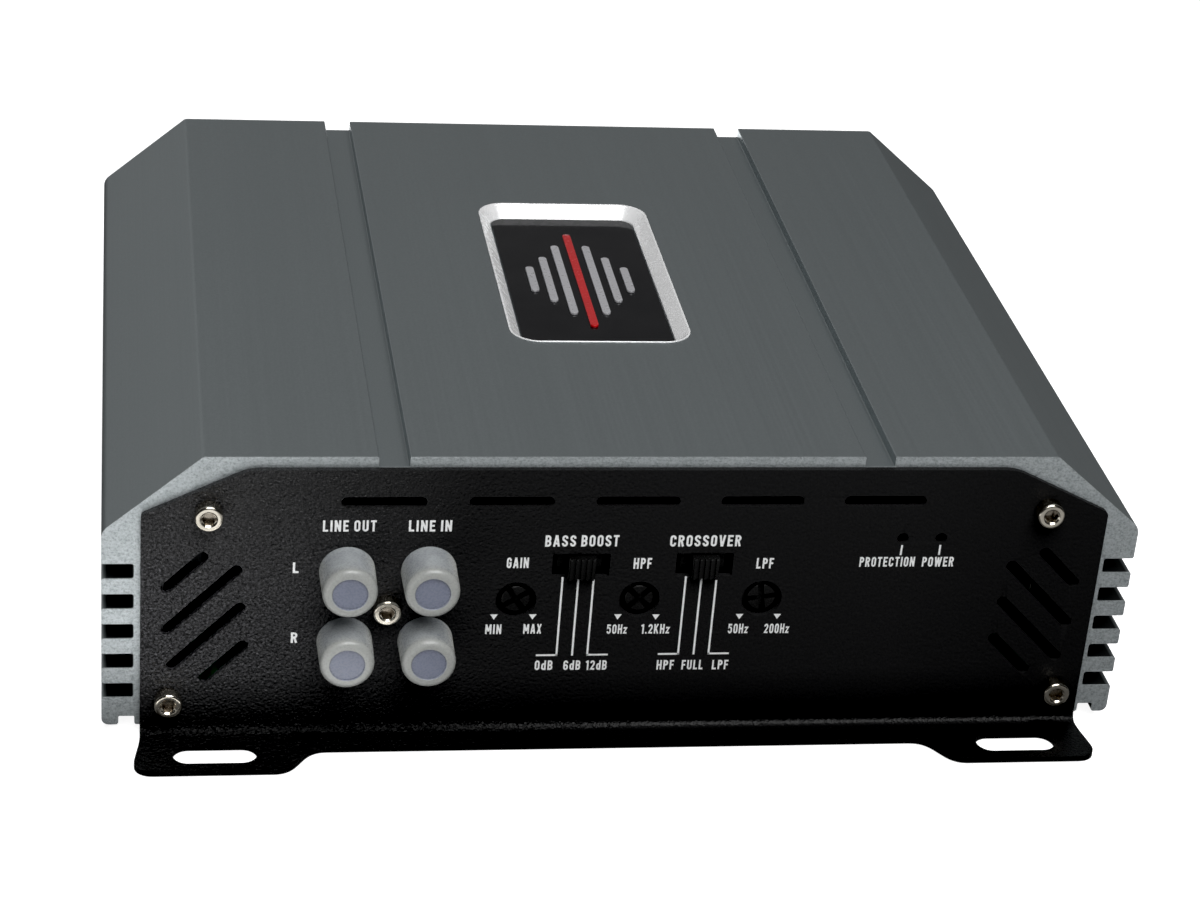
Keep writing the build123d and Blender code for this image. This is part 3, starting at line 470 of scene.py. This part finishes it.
def arc(cx, cy, rx, ry, a0, a1, n=7):
    out = []
    for i in range(n + 1):
        a = math.radians(a0 + (a1 - a0) * i / n)
        out.append((cx + rx * math.cos(a), cy + ry * math.sin(a)))
    return out


def ring_path(w, y0, y1, r=None):
    """Closed centre line of a narrow rounded loop."""
    lo, hi, bo, to = H_, w - H_, y0 + H_, y1 - H_
    r = min((hi - lo) / 2, r or 9)
    pts = arc(hi - r, to - r, r, r, 0, 90) + arc(lo + r, to - r, r, r, 90, 180)
    pts += arc(lo + r, bo + r, r, r, 180, 270) + arc(hi - r, bo + r, r, r, 270, 360)
    return pts


def bowl(w, y0, y1, x0=H_):
    """Bowl of B, P, R or D, open at the stem."""
    hi, bo, to = w - H_, y0 + H_, y1 - H_
    r = min(0.17, (to - bo) / 2)
    return [(x0, to)] + arc(hi - r, to - r, r, r, 90, 0) + arc(hi - r, bo + r, r, r, 0, -90) + [(x0, bo)]


def glyph(ch):
    """(advance width, list of open strokes, list of closed strokes)"""
    w = 0.50
    lo, hi = H_, w - H_
    to, bo, mi = 1 - H_, H_, 0.5
    r = (hi - lo) / 2
    if ch == "I":
        return T_, [[(H_, 0), (H_, 1)]], []
    if ch == "L":
        return 0.43, [[(H_, 1), (H_, H_), (0.43, H_)]], []
    if ch == "N":
        return 0.53, [[(H_, 0), (H_, 1)], [(0.53 - H_, 0), (0.53 - H_, 1)], [(H_ + 0.0, 0.97), (0.53 - H_, 0.03)]], []
    if ch == "E":
        return 0.45, [[(0.45, to), (H_, to), (H_, bo), (0.45, bo)], [(H_, mi + 0.01), (0.40, mi + 0.01)]], []
    if ch == "F":
        return 0.43, [[(0.43, to), (H_, to), (H_, 0)], [(H_, mi), (0.39, mi)]], []
    if ch in "O0":
        return w, [], [ring_path(w, 0, 1)]
    if ch == "U":
        return w, [[(lo, 1), (lo, bo + r)] + arc(lo + r, bo + r, r, r, 180, 360)[1:] + [(hi, 1)]], []
    if ch == "T":
        return 0.48, [[(0, to), (0.48, to)], [(0.24, 0), (0.24, to)]], []
    if ch == "B":
        return w, [[(H_, 0), (H_, 1)], bowl(w - 0.01, mi - H_, 1), bowl(w, 0, mi + H_)], []
    if ch == "P":
        return 0.48, [[(H_, 0), (H_, 1)], bowl(0.48, 0.42, 1)], []
    if ch == "R":
        return w, [[(H_, 0), (H_, 1)], bowl(w - 0.01, 0.44, 1), [(0.26, 0.50), (w - H_ + 0.005, 0)]], []
    if ch == "D":
        return w, [[(H_, 0), (H_, 1)], bowl(w, 0, 1)], []
    if ch == "A":
        return 0.56, [[(H_ * 0.9, 0), (0.28 - 0.02, 1)], [(0.56 - H_ * 0.9, 0), (0.28 + 0.02, 1)], [(0.13, 0.28), (0.43, 0.28)]], []
    if ch == "V":
        return 0.54, [[(H_ * 0.9, 1), (0.27 - 0.02, 0)], [(0.54 - H_ * 0.9, 1), (0.27 + 0.02, 0)]], []
    if ch == "X":
        return 0.54, [[(H_ * 0.9, 1), (0.54 - H_ * 0.9, 0)], [(H_ * 0.9, 0), (0.54 - H_ * 0.9, 1)]], []
    if ch == "W":
        a = 0.76
        return a, [[(H_ * 0.9, 1), (a * 0.29, 0)], [(a * 0.29, 0), (a * 0.5, 0.95)], [(a * 0.5, 0.95), (a * 0.71, 0)],
                   [(a * 0.71, 0), (a - H_ * 0.9, 1)]], []
    if ch == "M":
        a = 0.66
        return a, [[(H_, 0), (H_, 1)], [(a - H_, 0), (a - H_, 1)], [(H_ + 0.02, 0.97), (a / 2, 0.28)],
                   [(a / 2, 0.28), (a - H_ - 0.02, 0.97)]], []
    if ch == "K":
        return 0.53, [[(H_, 0), (H_, 1)], [(H_, 0.40), (0.53 - H_ * 0.9, 1)], [(0.20, 0.56), (0.53 - H_ * 0.8, 0)]], []
    if ch == "H":
        return 0.52, [[(H_, 0), (H_, 1)], [(0.52 - H_, 0), (0.52 - H_, 1)], [(H_, mi), (0.52 - H_, mi)]], []
    if ch in "CG":
        path = [(hi, 0.66), (hi, to - r)] + arc(hi - r, to - r, r, r, 0, 180)[1:] + [(lo, bo + r)]
        path += arc(lo + r, bo + r, r, r, 180, 360)[1:]
        path += [(hi, 0.34)] if ch == "C" else [(hi, 0.47), (0.27, 0.47)]
        return w, [path], []
    if ch == "S":
        path = [(hi, 0.70), (hi, to - r)] + arc(hi - r, to - r, r, r, 0, 180)[1:]
        path += [(lo, 0.70), (lo + 0.03, 0.61), (hi - 0.03, 0.39), (hi, 0.30), (hi, bo + r)]
        path += arc(hi - r, bo + r, r, r, 0, -180)[1:] + [(lo, 0.30)]
        return w, [path], []
    if ch == "5":
        path = [(0.46, to), (lo + 0.02, to), (lo + 0.005, 0.56)]
        path += arc(hi - r, 0.62 - r, r, r, 120, 0)[0:] + [(hi, bo + r)]
        path += arc(hi - r, bo + r, r, r, 0, -180)[1:] + [(lo, 0.28)]
        return w, [path], []
    if ch == "2":
        path = [(lo, 0.72), (lo, to - r)] + arc(lo + r, to - r, r, r, 180, 0)[1:]
        path += [(hi, 0.66), (hi - 0.04, 0.54), (lo + 0.01, bo + 0.02), (0.48, bo)]
        return w, [path], []
    if ch == "6":
        path = [(hi, 0.72), (hi, to - r)] + arc(hi - r, to - r, r, r, 0, 180)[1:] + [(lo, 0.3)]
        return w, [path], [ring_path(w, 0, 0.60)]
    if ch == "1":
        return 0.30, [[(0.30 - H_, 0), (0.30 - H_, 1)], [(0.0, 0.80), (0.30 - H_, 0.93)]], []
    if ch == "z":
        return 0.40, [[(0.0, 0.70 - H_), (0.36, 0.70 - H_), (0.05, H_), (0.40, H_)]], []
    if ch == "d":
        return 0.47, [[(0.47 - H_, 0), (0.47 - H_, 1)]], [ring_path(0.47, 0, 0.70)]
    if ch == ".":
        return 0.17, [[(0.0, H_), (0.17, H_)]], []
    if ch == "+":
        return 0.46, [[(0, 0.5), (0.46, 0.5)], [(0.23, 0.27), (0.23, 0.73)]], []
    if ch == "-":
        return 0.36, [[(0, 0.5), (0.36, 0.5)]], []
    return 0.10, [], []


def ribbon(path, closed):
    """Quads of even width along a centre line, with mitred corners."""
    n = len(path)
    left, right_ = [], []
    clean = [path[0]]
    for p in path[1:]:
        if math.hypot(p[0] - clean[-1][0], p[1] - clean[-1][1]) > 1e-4:
            clean.append(p)
    if closed and math.hypot(clean[0][0] - clean[-1][0], clean[0][1] - clean[-1][1]) < 1e-4:
        clean.pop()
    path = clean
    n = len(path)
    for i in range(n):
        a = path[i - 1] if (i > 0 or closed) else None
        b = path[(i + 1) % n] if (i < n - 1 or closed) else None
        dirs = []
        if a is not None:
            k = math.hypot(path[i][0] - a[0], path[i][1] - a[1])
            dirs.append(((path[i][0] - a[0]) / k, (path[i][1] - a[1]) / k))
        if b is not None:
            k = math.hypot(b[0] - path[i][0], b[1] - path[i][1])
            dirs.append(((b[0] - path[i][0]) / k, (b[1] - path[i][1]) / k))
        if len(dirs) == 1:
            nx, ny = -dirs[0][1], dirs[0][0]
            s = 1.0
        else:
            nx, ny = -(dirs[0][1] + dirs[1][1]), dirs[0][0] + dirs[1][0]
            k = math.hypot(nx, ny)
            nx, ny = nx / k, ny / k
            s = min(1.6, 1.0 / max(0.3, nx * -dirs[0][1] + ny * dirs[0][0]))
        left.append((path[i][0] + nx * H_ * s, path[i][1] + ny * H_ * s))
        right_.append((path[i][0] - nx * H_ * s, path[i][1] - ny * H_ * s))
    quads = []
    for i in range(n if closed else n - 1):
        j = (i + 1) % n
        quads.append([right_[i], right_[j], left[j], left[i]])
    return quads


GLYPHS = {}


def glyph_tris(ch):
    """Triangles of one letter, its strokes merged into one flat outline."""
    if ch not in GLYPHS:
        adv, opened, loops = glyph(ch)
        verts, faces = [], []
        for paths, closed in ((opened, False), (loops, True)):
            for p in paths:
                for q in ribbon(p, closed):
                    faces.append(list(range(len(verts), len(verts) + 4)))
                    verts.extend(Vector(c) for c in q)
        if verts:
            out = geometry.delaunay_2d_cdt(verts, [], faces, 1, 1e-5)
            inside = [list(f) for f, origin in zip(out[2], out[5]) if origin]
            GLYPHS[ch] = (adv, [tuple(v) for v in out[0]], inside)
        else:
            GLYPHS[ch] = (adv, [], [])
    return GLYPHS[ch]


def prism(flat, faces, put):
    """Closed thin solid from flat faces; put(point, top) gives the place of a point."""
    n = len(flat)
    verts = [put(p, True) for p in flat] + [put(p, False) for p in flat]
    out = []
    count = {}
    for f in faces:
        area2 = sum(
            flat[f[i]][0] * flat[f[(i + 1) % len(f)]][1] - flat[f[(i + 1) % len(f)]][0] * flat[f[i]][1]
            for i in range(len(f))
        )
        if area2 < 0:
            f = f[::-1]
        out.append(list(f))
        out.append([i + n for i in reversed(f)])
        for i in range(len(f)):
            count[(f[i], f[(i + 1) % len(f)])] = True
    for a, b in list(count):
        if (b, a) not in count:
            out.append([b, a, a + n, b + n])
    return verts, out


verts_all = {-1: [], 1: []}
faces_all = {-1: [], 1: []}


def add_geometry(side, verts, faces):
    base = len(verts_all[side])
    verts_all[side].extend(verts)
    faces_all[side].extend([[base + i for i in f] for f in faces])


def panel(side):
    """Panel coordinates in mm (u to the reader's right, w up) to the frame, on a raised ink film."""
    def put(p, top):
        t = INK_T if top else -0.3 * INK_T
        if side < 0:
            return (p[0] * MM, FRONT_Y - t, p[1] * MM)
        return (-p[0] * MM, REAR_Y + t, p[1] * MM)
    return put


def label(body, x0, x1, z0, z1, side=-1, track=0.175):
    """Lettering that fills a rectangle of the panel; x runs to the reader's right."""
    x = 0.0
    parts = []
    for ch in body:
        adv, verts, tris = glyph_tris(ch)
        parts.append((x, verts, tris))
        x += adv + track
    total = x - track
    kx, kz = (x1 - x0) / total, z1 - z0
    put = panel(side)
    for gx, verts, tris in parts:
        if verts:
            flat = [(x0 + (gx + v[0]) * kx, z0 + PRINT_DZ + v[1] * kz) for v in verts]
            add_geometry(side, *prism(flat, tris, put))


def shape(points, side=-1):
    """Closed thin prism from panel points (counter-clockwise as read)."""
    add_geometry(side, *prism([(u, w + PRINT_DZ) for u, w in points], [list(range(len(points)))], panel(side)))


def bar(x0, z0, x1, z1, w=0.38, side=-1):
    dx, dz = x1 - x0, z1 - z0
    k = math.hypot(dx, dz)
    px, pz = -dz / k * w / 2, dx / k * w / 2
    shape([(x0 - px, z0 - pz), (x1 - px, z1 - pz), (x1 + px, z1 + pz), (x0 + px, z0 + pz)], side)


def arrow(x, z, w=1.45, h=1.15):
    shape([(x - w / 2, z + h / 2), (x, z - h / 2), (x + w / 2, z + h / 2)])


for text, x0, x1, z0, z1 in (
    ("LINE OUT", -59.25, -49.25, 45.30, 47.70), ("LINE IN", -43.20, -35.10, 45.25, 47.65),
    ("L", -64.60, -63.50, 36.40, 38.70), ("R", -64.55, -63.30, 21.05, 23.35),
    ("GAIN", -24.25, -20.05, 37.20, 39.50), ("BASS BOOST", -17.20, -3.05, 41.85, 44.30),
    ("HPF", 0.15, 3.65, 36.90, 39.25), ("CROSSOVER", 6.80, 20.60, 41.75, 44.20),
    ("LPF", 24.10, 27.45, 36.80, 39.10),
    ("MIN", -27.50, -24.40, 22.60, 24.75), ("MAX", -20.15, -16.65, 22.60, 24.75),
    ("50Hz", -3.90, 0.00, 22.40, 24.50), ("1.2KHz", 2.85, 8.35, 22.35, 24.50),
    ("50Hz", 19.95, 23.85, 22.25, 24.40), ("200Hz", 27.10, 32.00, 22.20, 24.35),
    ("0dB", -17.40, -13.95, 14.35, 16.50), ("6dB", -11.80, -8.50, 14.30, 16.45),
    ("12dB", -7.40, -3.30, 14.25, 16.40),
    ("HPF", 6.55, 9.95, 14.15, 16.30), ("FULL", 11.50, 15.70, 14.10, 16.25),
    ("LPF", 17.55, 20.75, 14.05, 16.20),
    ("PROTECTION", 44.40, 55.35, 37.05, 39.20), ("POWER", 56.85, 63.15, 37.00, 39.15),
):
    label(text, x0, x1, z0, z1)
for x, z in ((-26.0, 26.4), (-18.55, 26.35), (-2.0, 26.2), (5.45, 26.1), (21.9, 26.05), (29.4, 26.0)):
    arrow(x, z)
for c in (-10.28, 13.62):
    for dx in (-3.06, 0.0, 2.96):
        bar(c + dx, 17.55, c + dx, 35.15)
    bar(c - 7.05, 17.7, c - 3.06 + 0.2, 17.7)
    bar(c + 2.96 - 0.2, 17.7, c + 7.0, 17.7)
bar(52.35, 39.6, 52.4, 41.8, 0.38)
bar(60.0, 39.6, 60.0, 41.8, 0.38)

# rear panel: generic terminal markings, read from behind (x to the reader's right)
for text, c in zip(("GND", "REM", "+12V"), (45.0, 58.0, 71.0)):
    w = {"GND": 5.4, "REM": 5.4, "+12V": 7.0}[text]
    label(text, c - w / 2, c + w / 2, 36.6, 38.9, side=1)
label("FUSE", 16.0 - 3.6, 16.0 + 3.6, 41.6, 43.9, side=1)
for text, c in zip(("L+", "L-", "R-", "R+"), (-63.0, -51.0, -39.0, -27.0)):
    label(text, c - 1.8, c + 1.8, 36.6, 38.9, side=1)
label("SPEAKER", -45.0 - 7.5, -45.0 + 7.5, 41.6, 43.9, side=1)
bar(-64.8, 40.3, -49.2, 40.3, 0.35, side=1)
bar(-40.8, 40.3, -25.2, 40.3, 0.35, side=1)

for side, name in ((-1, "front_panel_print"), (1, "rear_panel_print")):
    o = mesh_piece(name, verts_all[side], faces_all[side], INK)
    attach(o, ROOT)

# ----------------------------------------------------------- camera and stage
FLOOR_GLOW = 0.92
# name, place, aim, size across, size along, watts
LIGHTS = (
    ("key", (0.08, -0.58, 0.86), (0, 0, 0.03), 0.7, 0.7, 11.5),
    ("table_front", (0.03, -0.340, 0.0006), (0.03, -0.340, 1.0), 0.70, 0.38, 0.29),
    ("table_left", (-0.150, -0.235, 0.0008), (-0.150, -0.235, 1.0), 0.16, 0.18, 0.086),
    ("table_spot", (-0.085, -0.120, 0.0010), (-0.085, -0.120, 1.0), 0.09, 0.022, 0.016),
    ("table_back", (0.01, 0.290, 0.0006), (0.01, 0.290, 1.0), 0.22, 0.36, 0.72),
)
CAM = Vector((-0.097541, -0.568606, 0.320503))
YAW, PITCH, ROLL = 0.182273, 0.482501, 0.085927
F_PX = 2983.63


def aim(obj, target):
    d = Vector(target) - obj.location
    obj.rotation_euler = d.to_track_quat("-Z", "Y").to_euler()


cam = bpy.data.cameras.new("camera")
cam.sensor_width = 36.0
cam.sensor_fit = "HORIZONTAL"
cam.lens = F_PX / 1200.0 * 36.0
cam.clip_start, cam.clip_end = 0.01, 20.0
cam_obj = bpy.data.objects.new("camera", cam)
coll.objects.link(cam_obj)
cy_, sy_, cp_, sp_ = math.cos(YAW), math.sin(YAW), math.cos(PITCH), math.sin(PITCH)
fwd = Vector((sy_ * cp_, cy_ * cp_, -sp_))
right = Vector((cy_, -sy_, 0.0))
up = right.cross(fwd)
r2 = right * math.cos(ROLL) + up * math.sin(ROLL)
u2 = -right * math.sin(ROLL) + up * math.cos(ROLL)
cam_obj.matrix_world = Matrix((
    (r2.x, u2.x, -fwd.x, CAM.x), (r2.y, u2.y, -fwd.y, CAM.y), (r2.z, u2.z, -fwd.z, CAM.z), (0, 0, 0, 1),
))
scene.camera = cam_obj

# floor: pale and plain; it shows white to the camera but throws little light back up
me = bpy.data.meshes.new("floor")
S = 4.0
me.from_pydata([(-S, -S, 0), (S, -S, 0), (S, S, 0), (-S, S, 0)], [], [(0, 1, 2, 3)])
me.update()
floor = bpy.data.objects.new("floor", me)
floor.location.z = -0.0003
coll.objects.link(floor)
fm = Mat("floor_paper")
fn = fm.noise(3.0, 3.0)
lp = fm.n("ShaderNodeLightPath")
seen = lp.outputs["Is Camera Ray"]
fm.set(
    color=fm.mix(seen, (0.12, 0.12, 0.12), fm.ramp(fn, [(0.3, (0.60, 0.60, 0.60)), (0.7, (0.62, 0.62, 0.62))])),
    rough=0.9, spec=0.0, emit=(1.0, 1.0, 1.0, 1.0), emit_s=fm.math("MULTIPLY", seen, FLOOR_GLOW),
)
me.materials.append(fm.m)

# world: white to the camera; for light and reflections a dim room with a pale
# backdrop behind the object, brighter to the left than to the right
world = bpy.data.worlds.new("studio")
scene.world = world
world.use_nodes = True
wt = world.node_tree
wt.nodes.clear()


def wmath(op, a, b=None, clamp=False):
    n = wt.nodes.new("ShaderNodeMath")
    n.operation = op
    n.use_clamp = clamp
    for i, v in enumerate((a, b)):
        if v is None:
            continue
        if isinstance(v, (int, float)):
            n.inputs[i].default_value = v
        else:
            wt.links.new(v, n.inputs[i])
    return n.outputs[0]


def wramp(v, lo, hi, a, b):
    n = wt.nodes.new("ShaderNodeMapRange")
    n.interpolation_type = "SMOOTHSTEP"
    wt.links.new(v, n.inputs[0])
    for i, k in zip((1, 2, 3, 4), (lo, hi, a, b)):
        n.inputs[i].default_value = k
    return n.outputs[0]


tc = wt.nodes.new("ShaderNodeTexCoord")
sep = wt.nodes.new("ShaderNodeSeparateXYZ")
wt.links.new(tc.outputs["Generated"], sep.inputs[0])
dx, dy, dz = sep.outputs
behind = wramp(dy, 0.10, 0.60, 0.0, 1.0)
side = wramp(dx, -0.55, 0.55, 1.75, 0.50)
height = wramp(dz, 0.55, 0.95, 1.0, 0.35)
level = wmath("MULTIPLY", wmath("MULTIPLY", behind, side), height)
level = wmath("ADD", wmath("MULTIPLY", level, 0.180), 0.016)
lp = wt.nodes.new("ShaderNodeLightPath")
seen = lp.outputs["Is Camera Ray"]
bg = wt.nodes.new("ShaderNodeBackground")
bg.inputs["Color"].default_value = (1.0, 1.0, 1.0, 1.0)
wt.links.new(wmath("MAXIMUM", level, seen), bg.inputs["Strength"])
wo = wt.nodes.new("ShaderNodeOutputWorld")
wt.links.new(bg.outputs[0], wo.inputs[0])


def area(name, loc, target, size_x, size_y, watts, color=(1, 1, 1)):
    li = bpy.data.lights.new(name, "AREA")
    li.shape = "RECTANGLE"
    li.size, li.size_y = size_x, size_y
    li.energy = watts
    li.color = color
    o = bpy.data.objects.new(name, li)
    coll.objects.link(o)
    o.location = loc
    if target[:2] == loc[:2]:
        o.rotation_euler = (math.pi, 0.0, 0.0)     # lies on the table, shines up
    else:
        aim(o, target)
    o.visible_camera = False
    return o


for spec in LIGHTS:
    area(*spec)

scene.view_settings.view_transform = "Standard"
scene.view_settings.look = "None"
scene.view_settings.exposure = 0.0
scene.view_settings.gamma = 1.0
scene.view_settings.use_curve_mapping = True
scene.view_settings.curve_mapping.black_level = (0.005, 0.005, 0.005)
scene.view_settings.curve_mapping.update()

# ---------------------------------------------------------------- edge softening
for name, width in (
    ("heatsink_shell", 0.22), ("front_end_plate", 0.14), ("rear_end_plate", 0.14), ("bottom_cover", 0.14),
    ("badge_bezel", 0.12), ("badge_emblem_bars", 0.10), ("badge_accent_bar", 0.10),
    ("end_plate_screws", 0.10), ("bass_boost_slider", 0.06), ("crossover_slider", 0.06),
    ("gain_rotor", 0.08), ("hpf_rotor", 0.08), ("lpf_rotor", 0.08),
    ("power_terminal_block", 0.25), ("speaker_terminal_block", 0.25), ("fuse_holder", 0.25),
    ("blade_fuse", 0.20), ("rca_jack_housing", 0.2),
):
    soften(name, width)
